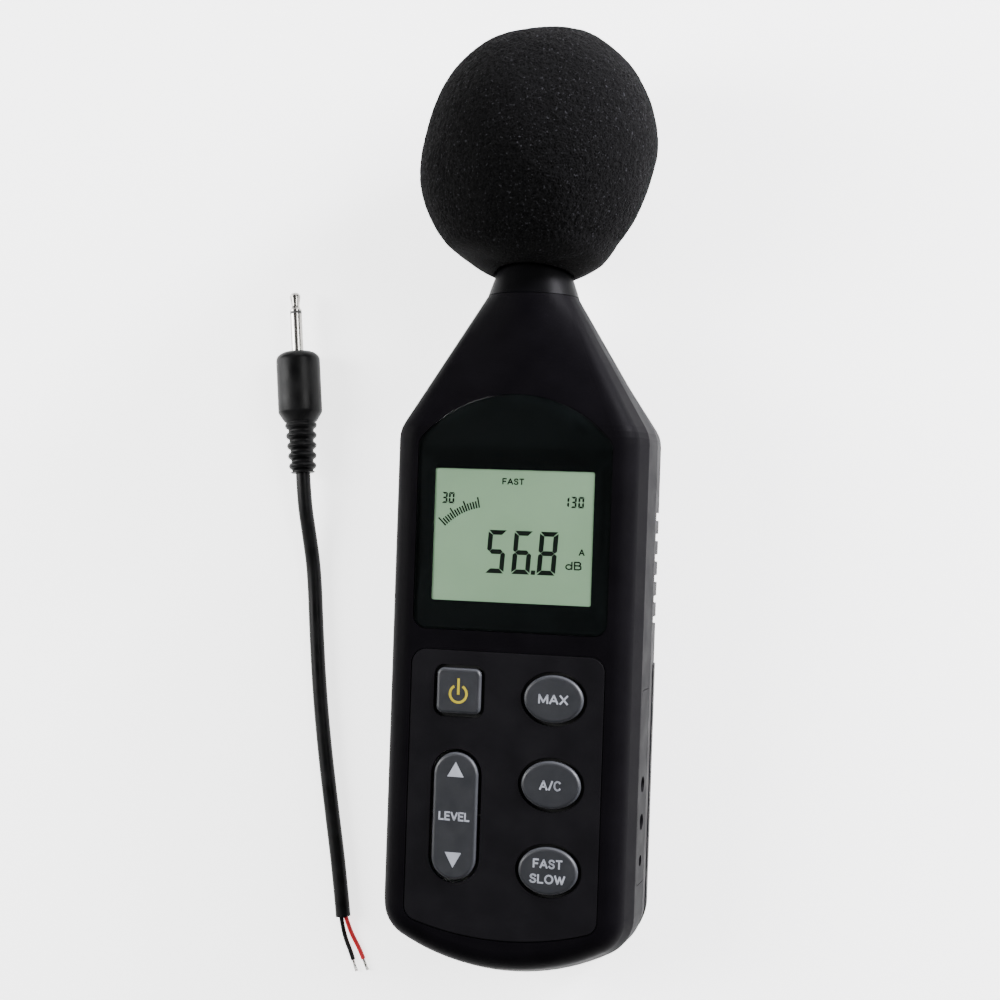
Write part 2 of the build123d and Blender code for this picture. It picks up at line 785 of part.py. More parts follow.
with BuildPart() as upper_contacts:
    top_spans = [(-28.5, -16), (-13.5, 13.5), (16, 28.5)]
    extrude(contact_plates(tray_top, top_spans), amount=plate_thickness)

battery_wires = {}
for name, side in (("battery_wire_red", 1), ("battery_wire_black", -1)):
    with BuildPart() as wire:
        with BuildLine(flat) as route:
            FilletPolyline(
                (side * 21, tray_top + 3.4, rear_base),
                (side * 21, tray_top + 3.4, 3.2),
                (side * 18, tray_top + 5.5, 4.8),
                (side * 18, tray_top + 5.5, board_z),
                radius=0.8,
            )
        with BuildSketch(Plane(route.line @ 0, z_dir=route.line % 0)):
            Circle(0.6)
        sweep(path=route.line)
    battery_wires[name] = wire

# ---------------------------------------------------------------- fixings
with BuildPart() as shell_screws:
    with BuildSketch(flat.offset(-9)):
        with Locations(*screw_spots):
            Circle(2.8)
    extrude(amount=-2)
    fillet(shell_screws.edges().group_by(out_axis)[0], 0.8)
    with BuildSketch(flat.offset(-9)):
        with Locations(*screw_spots):
            Circle(1.4)
    extrude(amount=14.5)
    with BuildSketch(flat.offset(-11)):
        for spot in screw_spots:
            with Locations(spot):
                Rectangle(3.2, 0.7)
                Rectangle(0.7, 3.2)
    extrude(amount=1.1, mode=Mode.SUBTRACT)

with BuildPart() as board_screws:
    with BuildSketch(flat.offset(board_z)):
        with Locations(*board_screw_spots):
            Circle(2.2)
    extrude(amount=-1.5)
    with BuildSketch(flat.offset(board_z)):
        with Locations(*board_screw_spots):
            Circle(1.1)
    extrude(amount=5.5)
    with BuildSketch(flat.offset(board_z - 1.5)):
        for spot in board_screw_spots:
            with Locations(spot):
                Rectangle(2.6, 0.6)
                Rectangle(0.6, 2.6)
    extrude(amount=0.8, mode=Mode.SUBTRACT)

tripod_bore = 3.175
with BuildPart() as tripod_nut:
    with BuildSketch(flat.offset(rear_z + 0.2)):
        with Locations((0, tripod_y)):
            Circle(4.6)
            Circle(tripod_bore, mode=Mode.SUBTRACT)
    extrude(amount=9.5)

# ---------------------------------------------------------------- microphone
collar_top_y = 192.0
collar_top_radius = 9.6
with BuildPart() as mic_collar:
    with BuildSketch(flat):
        with BuildLine():
            Polyline(
                (mic_radius, 177), (neck_inside, 177), (neck_inside, neck_y + seam),
                (neck_radius, neck_y + seam), (collar_top_radius, collar_top_y),
                (mic_radius, collar_top_y), close=True,
            )
        make_face()
    revolve(axis=long_axis)


def ring(inner, outer, low, high):
    """Half section of a ring about the long axis."""
    with BuildSketch(flat) as half:
        with Locations(((inner + outer) / 2, (low + high) / 2)):
            Rectangle(outer - inner, high - low)
    return half.sketch


with BuildPart() as mic_tube:
    add(ring(5.75, mic_radius, 178, 218.5))
    revolve(axis=long_axis)

with BuildPart() as mic_insulator:
    add(ring(5.0, mic_radius, 218.5, 219.3))
    revolve(axis=long_axis)

with BuildPart() as mic_capsule:
    add(ring(0, 5.6, 219.3, 226.2))
    revolve(axis=long_axis)

with BuildPart() as mic_grille:
    add(ring(5.85, mic_radius, 219.3, 227.4))
    add(ring(0, mic_radius, 226.7, 227.4))
    revolve(axis=long_axis)
    with BuildSketch(across(228)):
        with PolarLocations(3.6, 6):
            SlotOverall(3.4, 1.0)
    extrude(amount=2, mode=Mode.SUBTRACT)

with BuildPart() as mic_cable:
    with BuildLine(flat) as route:
        FilletPolyline(
            (0, 165, board_top + 1), (0, 170.5, board_top + 1), (0, 177, 2.2), (0, 188, 0),
            (0.6, 205, 0.3), (0, 219.2, 0),
            radius=4,
        )
    with BuildSketch(Plane(route.line @ 0, z_dir=route.line % 0)):
        Circle(0.9)
    sweep(path=route.line)

foam_gap = 0.35
mouth_radius = 11.6
mouth_turn = -degrees(acos(mouth_radius / ball_radius))
with BuildPart() as windscreen:
    with BuildSketch(flat):
        with BuildLine():
            skin = EllipticalCenterArc(
                (0, ball_y), ball_radius, ball_half_length,
                start_angle=mouth_turn, arc_size=90 - mouth_turn,
            )
            Polyline(
                skin @ 1, (0, 229.5), (mic_radius + foam_gap, 229.5),
                (mic_radius + foam_gap, collar_top_y + foam_gap),
                (collar_top_radius + foam_gap, collar_top_y + foam_gap), skin @ 0,
            )
        make_face()
    revolve(axis=long_axis)

# ---------------------------------------------------------------- loose output lead
# It lies on the table beside the meter, in the table's own x and y.
plug_tip_at = Vector(-78.4, 59.9, 6.6)
plug_end_at = Vector(-72.6, 6.1, 6.6)
plug_way = (plug_end_at - plug_tip_at).normalized()
plug_plane = Plane(plug_tip_at, x_dir=(plug_way.Y, -plug_way.X, 0), z_dir=(0, 0, 1))
plug_axis = Axis(plug_tip_at, plug_way)
plug_length = (plug_end_at - plug_tip_at).length
shaft_radius = 1.75
shaft_length = 17.9
root_radius = 1.3         # of the sleeve where it is moulded into the plug's body
ring_at = 5.6
body_radius = 6.5
body_end = 36.5
cord_radius = 2.15


def turned(points):
    """Half profile of a turned piece: radius across, distance from the tip along."""
    with BuildSketch(plug_plane) as half:
        with BuildLine():
            Polyline(*points, close=True)
        make_face()
    return half.sketch


with BuildPart() as plug_tip:
    add(turned([
        (0, 0), (0.9, 0), (1.5, 0.7), (1.55, 1.3), (1.15, 4.0), (1.3, 4.6),
        (shaft_radius, ring_at - 0.4), (shaft_radius, ring_at), (0.6, ring_at), (0.6, 22), (0, 22),
    ]))
    revolve(axis=plug_axis)
    fillet(plug_tip.edges().sort_by(plug_axis)[:2], 0.3)

with BuildPart() as plug_ring:
    add(turned([
        (0.6, ring_at), (shaft_radius, ring_at), (shaft_radius, ring_at + 0.8), (1.1, ring_at + 0.8),
        (1.1, 21.5), (0.6, 21.5),
    ]))
    revolve(axis=plug_axis)

with BuildPart() as plug_sleeve:
    add(turned([
        (1.1, ring_at + 0.8), (shaft_radius, ring_at + 0.8), (shaft_radius, shaft_length),
        (root_radius, shaft_length), (root_radius, 21), (1.1, 21),
    ]))
    revolve(axis=plug_axis)

rib_count = 5
rib_start = 39.3
rib_pitch = (plug_length - rib_start) / rib_count
with BuildPart() as plug_body:
    outline = [
        (root_radius, shaft_length), (3.2, shaft_length), (5.3, shaft_length + 0.7),
        (6.2, shaft_length + 1.6), (body_radius, shaft_length + 2.6),
        (body_radius, body_end), (4.7, rib_start),
    ]
    for rib in range(rib_count):
        rib_y = rib_start + rib * rib_pitch
        rib_radius = 4.7 - 0.12 * rib
        outline += [
            (rib_radius, rib_y + 0.3 * rib_pitch), (rib_radius - 0.3, rib_y + 0.6 * rib_pitch),
            (3.5, rib_y + 0.68 * rib_pitch), (3.5, rib_y + 0.98 * rib_pitch),
            (rib_radius - 0.4, rib_y + 1.04 * rib_pitch),
        ]
    outline = outline[:-3]
    outline += [(3.6, plug_length), (0, plug_length), (0, 22), (1.1, 22), (1.1, 21)]
    outline += [(root_radius, 21)]
    add(turned(outline))
    revolve(axis=plug_axis)

# The cord's route, from the strain relief to the cut end of its jacket
cord_route = [
    (-72.6, 6.1, 6.6), (-71.689, -2.35, 6.6), (-70.4, -11.5, 4.5), (-68.9, -22.5, 2.2),
    (-67.2, -40.0, 2.15), (-65.2, -57.5, 2.15), (-62.5, -75.0, 2.15), (-59.3, -92.3, 2.15),
    (-56.0, -109.4, 2.15), (-54.0, -122.5, 2.15),
]


def bend_radii(points):
    """The largest radius that each corner's two runs leave room for."""
    radii = []
    for before, corner, after in zip(points, points[1:], points[2:]):
        run_in = Vector(corner) - Vector(before)
        run_out = Vector(after) - Vector(corner)
        turn = radians(run_in.get_angle(run_out))
        radii.append(0.45 * min(run_in.length, run_out.length) / tan(turn / 2))
    return radii


with BuildPart() as lead_jacket:
    with BuildLine() as route:
        FilletPolyline(*cord_route, radius=bend_radii(cord_route))
    with BuildSketch(Plane(route.line @ 0, z_dir=route.line % 0)):
        Circle(cord_radius)
    sweep(path=route.line)
print("cord radii", [round(radius) for radius in bend_radii(cord_route)])
cord_length = route.wire().length
print("cord length", round(cord_length, 2))
print("cord volume", round(lead_jacket.part.volume, 1),
      "section times length", round(pi * cord_radius**2 * cord_length, 1))

core_radius = 0.65
core_routes = {
    "black_core": [
        (-54.72, -122.72, 1.75), (-54.2, -126.0, 1.2), (-53.1, -129.6, 0.75),
        (-51.6, -132.6, 0.65), (-50.7, -134.9, 0.65),
    ],
    "red_core": [
        (-53.36, -122.56, 1.75), (-52.3, -125.6, 1.3), (-50.9, -128.6, 0.75),
        (-48.9, -131.7, 0.65), (-47.6, -134.4, 0.65),
    ],
}
cores = {}
bare_ends = {}
for name, points in core_routes.items():
    with BuildPart() as core:
        with BuildLine() as route:
            FilletPolyline(*points, radius=bend_radii(points))
        with BuildSketch(Plane(route.line @ 0, z_dir=route.line % 0)):
            Circle(core_radius)
        sweep(path=route.line)
    cores[name] = core
    bare_plane = Plane(route.line @ 1, z_dir=route.line % 1)
    with BuildPart() as bare:
        with BuildSketch(bare_plane):
            Circle(0.45)
        with BuildSketch(bare_plane.offset(3.9)):
            Circle(0.32)
        loft()
    bare_ends[name.replace("core", "bare_end")] = bare
    print(name, "radii", [round(radius, 1) for radius in bend_radii(points)])

# ---------------------------------------------------------------- labels and files
front_shell.part.label = "front_shell"
export_step(front_shell.part, "parts/front_shell.step")
rear_shell.part.label = "rear_shell"
export_step(rear_shell.part, "parts/rear_shell.step")
battery_cover.part.label = "battery_cover"
export_step(battery_cover.part, "parts/battery_cover.step")
display_window.part.label = "display_window"
export_step(display_window.part, "parts/display_window.step")
window_mask.part.label = "window_mask"
export_step(window_mask.part, "parts/window_mask.step")
keypad_plate.part.label = "keypad_plate"
export_step(keypad_plate.part, "parts/keypad_plate.step")
keypad_mat.part.label = "keypad_mat"
export_step(keypad_mat.part, "parts/keypad_mat.step")
switch_domes.part.label = "switch_domes"
export_step(switch_domes.part, "parts/switch_domes.step")
jack_panel.part.label = "jack_panel"
export_step(jack_panel.part, "parts/jack_panel.step")
lcd_glass.part.label = "lcd_glass"
export_step(lcd_glass.part, "parts/lcd_glass.step")
lcd_holder.part.label = "lcd_holder"
export_step(lcd_holder.part, "parts/lcd_holder.step")
contact_strips.part.label = "contact_strips"
export_step(contact_strips.part, "parts/contact_strips.step")
main_board.part.label = "main_board"
export_step(main_board.part, "parts/main_board.step")
circuit_chips.part.label = "circuit_chips"
export_step(circuit_chips.part, "parts/circuit_chips.step")
capacitors.part.label = "capacitors"
export_step(capacitors.part, "parts/capacitors.step")
trimmer_body.part.label = "trimmer_body"
export_step(trimmer_body.part, "parts/trimmer_body.step")
trimmer_rotor.part.label = "trimmer_rotor"
export_step(trimmer_rotor.part, "parts/trimmer_rotor.step")
battery_springs.part.label = "battery_springs"
export_step(battery_springs.part, "parts/battery_springs.step")
lower_contacts.part.label = "lower_contacts"
export_step(lower_contacts.part, "parts/lower_contacts.step")
upper_contacts.part.label = "upper_contacts"
export_step(upper_contacts.part, "parts/upper_contacts.step")
shell_screws.part.label = "shell_screws"
export_step(shell_screws.part, "parts/shell_screws.step")
board_screws.part.label = "board_screws"
export_step(board_screws.part, "parts/board_screws.step")
tripod_nut.part.label = "tripod_nut"
export_step(tripod_nut.part, "parts/tripod_nut.step")
mic_collar.part.label = "mic_collar"
export_step(mic_collar.part, "parts/mic_collar.step")
mic_tube.part.label = "mic_tube"
export_step(mic_tube.part, "parts/mic_tube.step")
mic_insulator.part.label = "mic_insulator"
export_step(mic_insulator.part, "parts/mic_insulator.step")
mic_capsule.part.label = "mic_capsule"
export_step(mic_capsule.part, "parts/mic_capsule.step")
mic_grille.part.label = "mic_grille"
export_step(mic_grille.part, "parts/mic_grille.step")
mic_cable.part.label = "mic_cable"
export_step(mic_cable.part, "parts/mic_cable.step")
windscreen.part.label = "windscreen"
export_step(windscreen.part, "parts/windscreen.step")
plug_tip.part.label = "plug_tip"
export_step(plug_tip.part, "parts/plug_tip.step")
plug_ring.part.label = "plug_ring"
export_step(plug_ring.part, "parts/plug_ring.step")
plug_sleeve.part.label = "plug_sleeve"
export_step(plug_sleeve.part, "parts/plug_sleeve.step")
plug_body.part.label = "plug_body"
export_step(plug_body.part, "parts/plug_body.step")
lead_jacket.part.label = "lead_jacket"
export_step(lead_jacket.part, "parts/lead_jacket.step")
for group in (keys, jacks, cells, battery_wires, cores, bare_ends):
    for name, piece in group.items():
        piece.part.label = name
        export_step(piece.part, f"parts/{name}.step")
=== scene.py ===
import json
from math import acos, cos, pi, radians, sin, sqrt, tau

import bmesh
import bpy
from mathutils import Matrix, Vector, noise


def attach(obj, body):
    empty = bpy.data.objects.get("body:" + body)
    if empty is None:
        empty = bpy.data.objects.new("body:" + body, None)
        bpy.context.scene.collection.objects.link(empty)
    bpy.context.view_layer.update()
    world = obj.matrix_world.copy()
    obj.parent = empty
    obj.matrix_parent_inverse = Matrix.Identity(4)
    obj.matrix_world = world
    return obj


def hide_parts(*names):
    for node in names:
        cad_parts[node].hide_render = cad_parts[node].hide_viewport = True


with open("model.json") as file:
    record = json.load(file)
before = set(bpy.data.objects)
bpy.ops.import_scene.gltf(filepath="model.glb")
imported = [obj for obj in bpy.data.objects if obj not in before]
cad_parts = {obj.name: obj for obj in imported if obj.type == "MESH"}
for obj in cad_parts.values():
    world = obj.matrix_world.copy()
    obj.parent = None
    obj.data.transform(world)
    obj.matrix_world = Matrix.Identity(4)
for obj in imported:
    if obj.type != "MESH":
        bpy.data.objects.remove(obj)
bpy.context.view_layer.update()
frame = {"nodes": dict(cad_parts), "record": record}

MM = 0.001
scene = bpy.context.scene
nodes = frame["nodes"]
mounts = {mount["name"]: mount for mount in frame["record"]["mounts"]}

# ------------------------------------------------------------------ the meter's own frame
# x across, y along the body towards the microphone, z out of the display, all in mm.
out = -Vector(mounts["back_face"]["axis"]).normalized()
along = Vector((0, out.z, -out.y))
# The middle of the tripod socket's bore in that frame.
TRIPOD = Vector((0, 104, -11.95))
tilt = Matrix((Vector((1, 0, 0)), along, out)).transposed()
start = Vector(mounts["tripod_socket"]["pos_m"]) - tilt @ (TRIPOD * MM)
METER = Matrix.Translation(start) @ tilt.to_4x4() @ Matrix.Scale(MM, 4)

# Keys, display and windscreen, in the meter's own frame
KEY_X = 12.9
KEY_TOP_Z = 18.3
# Heights of the keys' painted highlight on the rounded top edge, and of the painted shade down the skirt
KEY_CROWN_Z = (17.85, 18.24)
KEY_SKIRT_Z = (17.0, 17.6)
OVAL_YS = (75.7, 53.1, 30.5)
POWER_Y = 76.4
LEVEL_Y = 43.1
LCD_Z = 16.2
BALL_Y = 222.3
BALL_RADIUS = 32.6
BALL_HALF_LENGTH = 35.6
COLLAR_TOP_Y = 192.0
COLLAR_TOP_RADIUS = 9.6
MIC_RADIUS = 6.35
FOAM_GAP = 0.35


def at(x, y, z):
    """A point of the meter's own frame, in the row frame, in metres."""
    return METER @ Vector((x, y, z))


# ------------------------------------------------------------------ camera
CAMERA_YAW = radians(-13.457)
CAMERA_PITCH = radians(-0.07)
CAMERA_ROLL = radians(-1.93)
CAMERA_DISTANCE = 466.9
CAMERA_OFFSET = (3.13, -127.8)
CAMERA_LENS = 61.2

camera_data = bpy.data.cameras.new("camera")
camera = bpy.data.objects.new("camera", camera_data)
scene.collection.objects.link(camera)
scene.camera = camera
camera_data.lens = CAMERA_LENS
camera_data.sensor_width = 36
turn = (
    Matrix.Rotation(CAMERA_ROLL, 3, "Z")
    @ Matrix.Rotation(CAMERA_PITCH, 3, "X")
    @ Matrix.Rotation(CAMERA_YAW, 3, "Y")
)
place = turn.transposed() @ -Vector((*CAMERA_OFFSET, -CAMERA_DISTANCE))
camera.rotation_mode = "QUATERNION"
camera.rotation_quaternion = (tilt @ turn.transposed()).to_quaternion()
camera.location = METER @ place


# ------------------------------------------------------------------ making pieces
def link(name, data):
    """A new object in the scene."""
    piece = bpy.data.objects.new(name, data)
    scene.collection.objects.link(piece)
    return piece


def mesh_piece(name, verts, faces, body, smooth=True):
    """A new mesh piece from points in the row frame, riding on a body."""
    mesh = bpy.data.meshes.new(name)
    mesh.from_pydata([tuple(v) for v in verts], [], faces)
    mesh.validate()
    mesh.polygons.foreach_set("use_smooth", [smooth] * len(mesh.polygons))
    piece = link(name, mesh)
    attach(piece, body)
    return piece


def nurbs_line(name, points, radius, body, resolution=12):
    """A round line whose control points are given in metres."""
    curve = bpy.data.curves.new(name, "CURVE")
    curve.dimensions = "3D"
    spline = curve.splines.new("NURBS")
    spline.points.add(len(points) - 1)
    for point, place_at in zip(spline.points, points):
        point.co = (*place_at, 1)
        point.radius = radius
    spline.order_u = 3
    spline.use_endpoint_u = True
    spline.resolution_u = resolution
    curve.bevel_depth = 1.0
    curve.bevel_resolution = 6
    curve.use_fill_caps = True
    piece = link(name, curve)
    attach(piece, body)
    return piece


# ------------------------------------------------------------------ the loose output lead
CORD_RADIUS = 2.15
CORE_RADIUS = 0.65
CORD_ROUTE = [
    (-72.6, 6.1, 6.6), (-71.689, -2.35, 6.6), (-70.4, -11.5, 4.5), (-68.9, -22.5, 2.2),
    (-67.2, -40.0, 2.15), (-65.2, -57.5, 2.15), (-62.5, -75.0, 2.15), (-59.3, -92.3, 2.15),
    (-56.0, -109.4, 2.15), (-54.0, -122.5, 2.15),
]
BLACK_ROUTE = [
    (-54.72, -122.72, 1.75), (-54.2, -126.0, 1.2), (-53.1, -129.6, 0.75),
    (-51.6, -132.6, 0.65), (-50.7, -134.9, 0.65),
]
RED_ROUTE = [
    (-53.36, -122.56, 1.75), (-52.3, -125.6, 1.3), (-50.9, -128.6, 0.75),
    (-48.9, -131.7, 0.65), (-47.6, -134.4, 0.65),
]


def metres(points):
    """Points in millimetres as vectors in metres."""
    return [Vector(point) * MM for point in points]


jacket = nurbs_line("cord_jacket", metres(CORD_ROUTE), CORD_RADIUS * MM, "output_lead")
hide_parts("lead_jacket")


# ------------------------------------------------------------------ finishes
def look(name, colour, roughness, metallic=0.0, **sockets):
    """A material with one Principled shader. Sockets with one value are set on the shader itself."""
    material = bpy.data.materials.new(name)
    material.use_nodes = True
    shader = material.node_tree.nodes["Principled BSDF"]
    shader.inputs["Base Color"].default_value = (*colour, 1)
    shader.inputs["Roughness"].default_value = roughness
    shader.inputs["Metallic"].default_value = metallic
    for key, value in sockets.items():
        shader.inputs[key.replace("_", " ")].default_value = value
    return material


def add_node(material, kind, **inputs):
    """A node whose inputs, given by name or as n0, n1 and so on, are values or other nodes' outputs."""
    made = material.node_tree.nodes.new(kind)
    for key, value in inputs.items():
        by_number = key[0] == "n" and key[1:].isdigit()
        socket = made.inputs[int(key[1:]) if by_number else key.replace("_", " ")]
        if isinstance(value, bpy.types.NodeSocket):
            material.node_tree.links.new(value, socket)
        else:
            socket.default_value = value
    return made


def grain(material, size, detail=2.0):
    """Noise from 0 to 1 with features of about that many millimetres."""
    where = add_node(material, "ShaderNodeTexCoord").outputs["Object"]
    made = add_node(
        material, "ShaderNodeTexNoise", Vector=where, Scale=1 / (size * MM), Detail=detail, Roughness=0.5,
    )
    return made.outputs["Fac"]


def cells(material, size, feature="F1"):
    """Distance to the nearest of scattered points about that many millimetres apart."""
    where = add_node(material, "ShaderNodeTexCoord").outputs["Object"]
    made = add_node(material, "ShaderNodeTexVoronoi", Vector=where, Scale=1 / (size * MM))
    made.feature = feature
    return made.outputs["Distance"]


def spread(material, factor, low, high, start=0.3, end=0.7):
    """Maps a factor between start and end to a value between low and high."""
    made = add_node(
        material, "ShaderNodeMapRange", Value=factor,
        From_Min=start, From_Max=end, To_Min=low, To_Max=high,
    )
    return made.outputs["Result"]


def blend_colours(material, factor, first, second):
    """A colour between two, each a fixed colour or another node's output."""
    made = material.node_tree.nodes.new("ShaderNodeMix")
    made.data_type = "RGBA"
    material.node_tree.links.new(factor, made.inputs["Factor"])
    for socket, colour in ((made.inputs[6], first), (made.inputs[7], second)):
        if isinstance(colour, bpy.types.NodeSocket):
            material.node_tree.links.new(colour, socket)
        else:
            socket.default_value = (*colour, 1)
    return made.outputs[2]


def join(material, output, socket_name):
    """Leads a node's output to the material's shader."""
    shader = material.node_tree.nodes["Principled BSDF"]
    material.node_tree.links.new(output, shader.inputs[socket_name])


def relief(material, height, depth, normal=None):
    """Bumps of about that many millimetres."""
    made = add_node(material, "ShaderNodeBump", Height=height, Distance=depth * MM, Strength=1.0)
    if normal is not None:
        material.node_tree.links.new(normal, made.inputs["Normal"])
    return made.outputs["Normal"]


def height_in_meter(material):
    """How far a point lies out of the display, in millimetres."""
    where = add_node(material, "ShaderNodeTexCoord").outputs["Object"]
    made = add_node(material, "ShaderNodeVectorMath", n0=where, n1=out)
    made.operation = "DOT_PRODUCT"
    level = add_node(material, "ShaderNodeMath", n0=made.outputs["Value"], n1=-start.dot(out))
    level.operation = "ADD"
    scaled = add_node(material, "ShaderNodeMath", n0=level.outputs[0], n1=1 / MM)
    scaled.operation = "MULTIPLY"
    return scaled.outputs[0]


def satin_plastic(name, colour, roughness, texture=0.012, shine=0.5):
    """Moulded plastic with a fine spark-eroded texture and faint handling marks."""
    made = look(name, colour, roughness, Specular_IOR_Level=shine)
    marks = grain(made, 9, detail=4)
    join(made, spread(made, marks, roughness - 0.05, roughness + 0.06), "Roughness")
    paler = tuple(channel * 1.35 for channel in colour)
    join(made, blend_colours(made, spread(made, marks, 0, 1), colour, paler), "Base Color")
    fine = relief(made, grain(made, 0.35, detail=3), texture)
    join(made, relief(made, grain(made, 14, detail=1), 0.05, fine), "Normal")
    return made


def key_finish():
    """Slate translucent plastic, with a painted highlight where its top edge is rounded over and painted
    shade that darkens it down its skirt.
    """
    slate, rim_highlight_colour = (0.0118, 0.0126, 0.0150), (0.036, 0.038, 0.043)
    made = look(
        "key", slate, 0.42, Subsurface_Weight=0.12, Subsurface_Scale=0.0012, Specular_IOR_Level=0.3,
    )
    made.node_tree.nodes["Principled BSDF"].inputs["Subsurface Radius"].default_value = (1.0, 1.0, 1.2)
    # Painted highlight: the band where the top edge rounds over is coloured paler.
    painted_rim_highlight = spread(made, height_in_meter(made), 1, 0, *KEY_CROWN_Z)
    cloudy = spread(made, grain(made, 3.5, detail=3), 0, 0.12)
    mixed = add_node(made, "ShaderNodeMath", n0=painted_rim_highlight, n1=cloudy)
    mixed.operation = "ADD"
    mixed.use_clamp = True
    top = blend_colours(made, mixed.outputs[0], slate, rim_highlight_colour)
    # Painted shade: the skirt is coloured nearly black towards its foot.
    painted_skirt_shade = spread(made, height_in_meter(made), 1, 0, *KEY_SKIRT_Z)
    join(made, blend_colours(made, painted_skirt_shade, top, (0.001, 0.001, 0.001)), "Base Color")
    join(made, spread(made, grain(made, 5, detail=3), 0.37, 0.48), "Roughness")
    join(made, relief(made, grain(made, 0.3, detail=2), 0.006), "Normal")
    return made


def lcd_finish():
    """The liquid crystal's grey-green reflector, clouded and finely grained."""
    made = look("lcd", (0.33, 0.42, 0.33), 0.35, Specular_IOR_Level=0.3)
    cloud = spread(made, grain(made, 16, detail=2), 0, 1)
    base = blend_colours(made, cloud, (0.40, 0.57, 0.37), (0.45, 0.63, 0.42))
    speck = spread(made, grain(made, 0.12, detail=1), 0.0, 0.12)
    join(made, blend_colours(made, speck, base, (0.28, 0.40, 0.26)), "Base Color")
    join(made, spread(made, grain(made, 0.2, detail=1), 0.3, 0.42), "Roughness")
    return made


def lens_finish():
    """Clear acrylic: it shows what lies behind it, with a soft reflection over it."""
    made = bpy.data.materials.new("window")
    made.use_nodes = True
    tree = made.node_tree
    tree.nodes.remove(tree.nodes["Principled BSDF"])
    clear = add_node(made, "ShaderNodeBsdfTransparent", Color=(0.93, 0.96, 0.95, 1))
    gloss = add_node(made, "ShaderNodeBsdfGlossy", Roughness=0.16)
    share = add_node(made, "ShaderNodeFresnel", IOR=1.22)
    mixed = add_node(
        made, "ShaderNodeMixShader", n0=share.outputs[0], n1=clear.outputs[0], n2=gloss.outputs[0],
    )
    tree.links.new(mixed.outputs[0], tree.nodes["Material Output"].inputs["Surface"])
    return made


def turned_metal(name, colour, roughness):
    """Plated or turned metal: fine marks from its making, and faint stains in its polish."""
    made = look(name, colour, roughness, 1.0)
    cloud = spread(made, grain(made, 3, detail=4), 0, 1)
    dull = tuple(channel * 0.82 for channel in colour)
    join(made, blend_colours(made, cloud, colour, dull), "Base Color")
    join(made, spread(made, grain(made, 1.5, detail=4), roughness * 0.7, roughness * 1.5), "Roughness")
    join(made, relief(made, grain(made, 0.2, detail=2), 0.004), "Normal")
    return made


def foam_finish():
    """Charcoal open-cell foam: paler struts, with painted shade in the pores between them and small
    painted glints.
    """
    made = look("foam", (0.002, 0.002, 0.002), 0.95, Specular_IOR_Level=0.05)
    pores = cells(made, 0.6)
    fine = grain(made, 0.24, detail=3)
    depth = add_node(made, "ShaderNodeMath", n0=spread(made, pores, 0, 1, 0.1, 0.75), n1=fine)
    depth.operation = "MULTIPLY"
    # Painted shade: the pores are coloured darker than the struts.
    painted_pore_shade = spread(made, depth.outputs[0], 0, 1, 0.05, 0.55)
    struts = blend_colours(made, painted_pore_shade, (0.0003, 0.0003, 0.0003), (0.0030, 0.0030, 0.0032))
    # Painted glints: scattered specks coloured paler than the foam.
    painted_glints = spread(made, grain(made, 0.7, detail=1), 0, 1, 0.66, 0.74)
    join(made, blend_colours(made, painted_glints, struts, (0.018, 0.018, 0.020)), "Base Color")
    join(made, relief(made, depth.outputs[0], 0.35), "Normal")
    return made


def soft_finish(name, colour, shine=0.5):
    """Soft PVC, rubber or ink with a faint grain and small rubbed places."""
    made = look(name, colour, 0.38, Specular_IOR_Level=shine)
    rubs = grain(made, 6, detail=4)
    join(made, spread(made, rubs, 0.32, 0.48), "Roughness")
    paler = tuple(min(1, channel * 1.3 + 0.004) for channel in colour)
    join(made, blend_colours(made, spread(made, rubs, 0, 1), colour, paler), "Base Color")
    join(made, relief(made, grain(made, 0.4, detail=2), 0.01), "Normal")
    return made


def board_finish():
    """Green solder mask over copper tracks."""
    made = look("board", (0.01, 0.08, 0.03), 0.35)
    tracks = spread(made, cells(made, 2.2, "F2"), 0, 1, 0.5, 0.56)
    join(made, blend_colours(made, tracks, (0.008, 0.07, 0.025), (0.014, 0.12, 0.04)), "Base Color")
    join(made, relief(made, tracks, 0.03), "Normal")
    return made


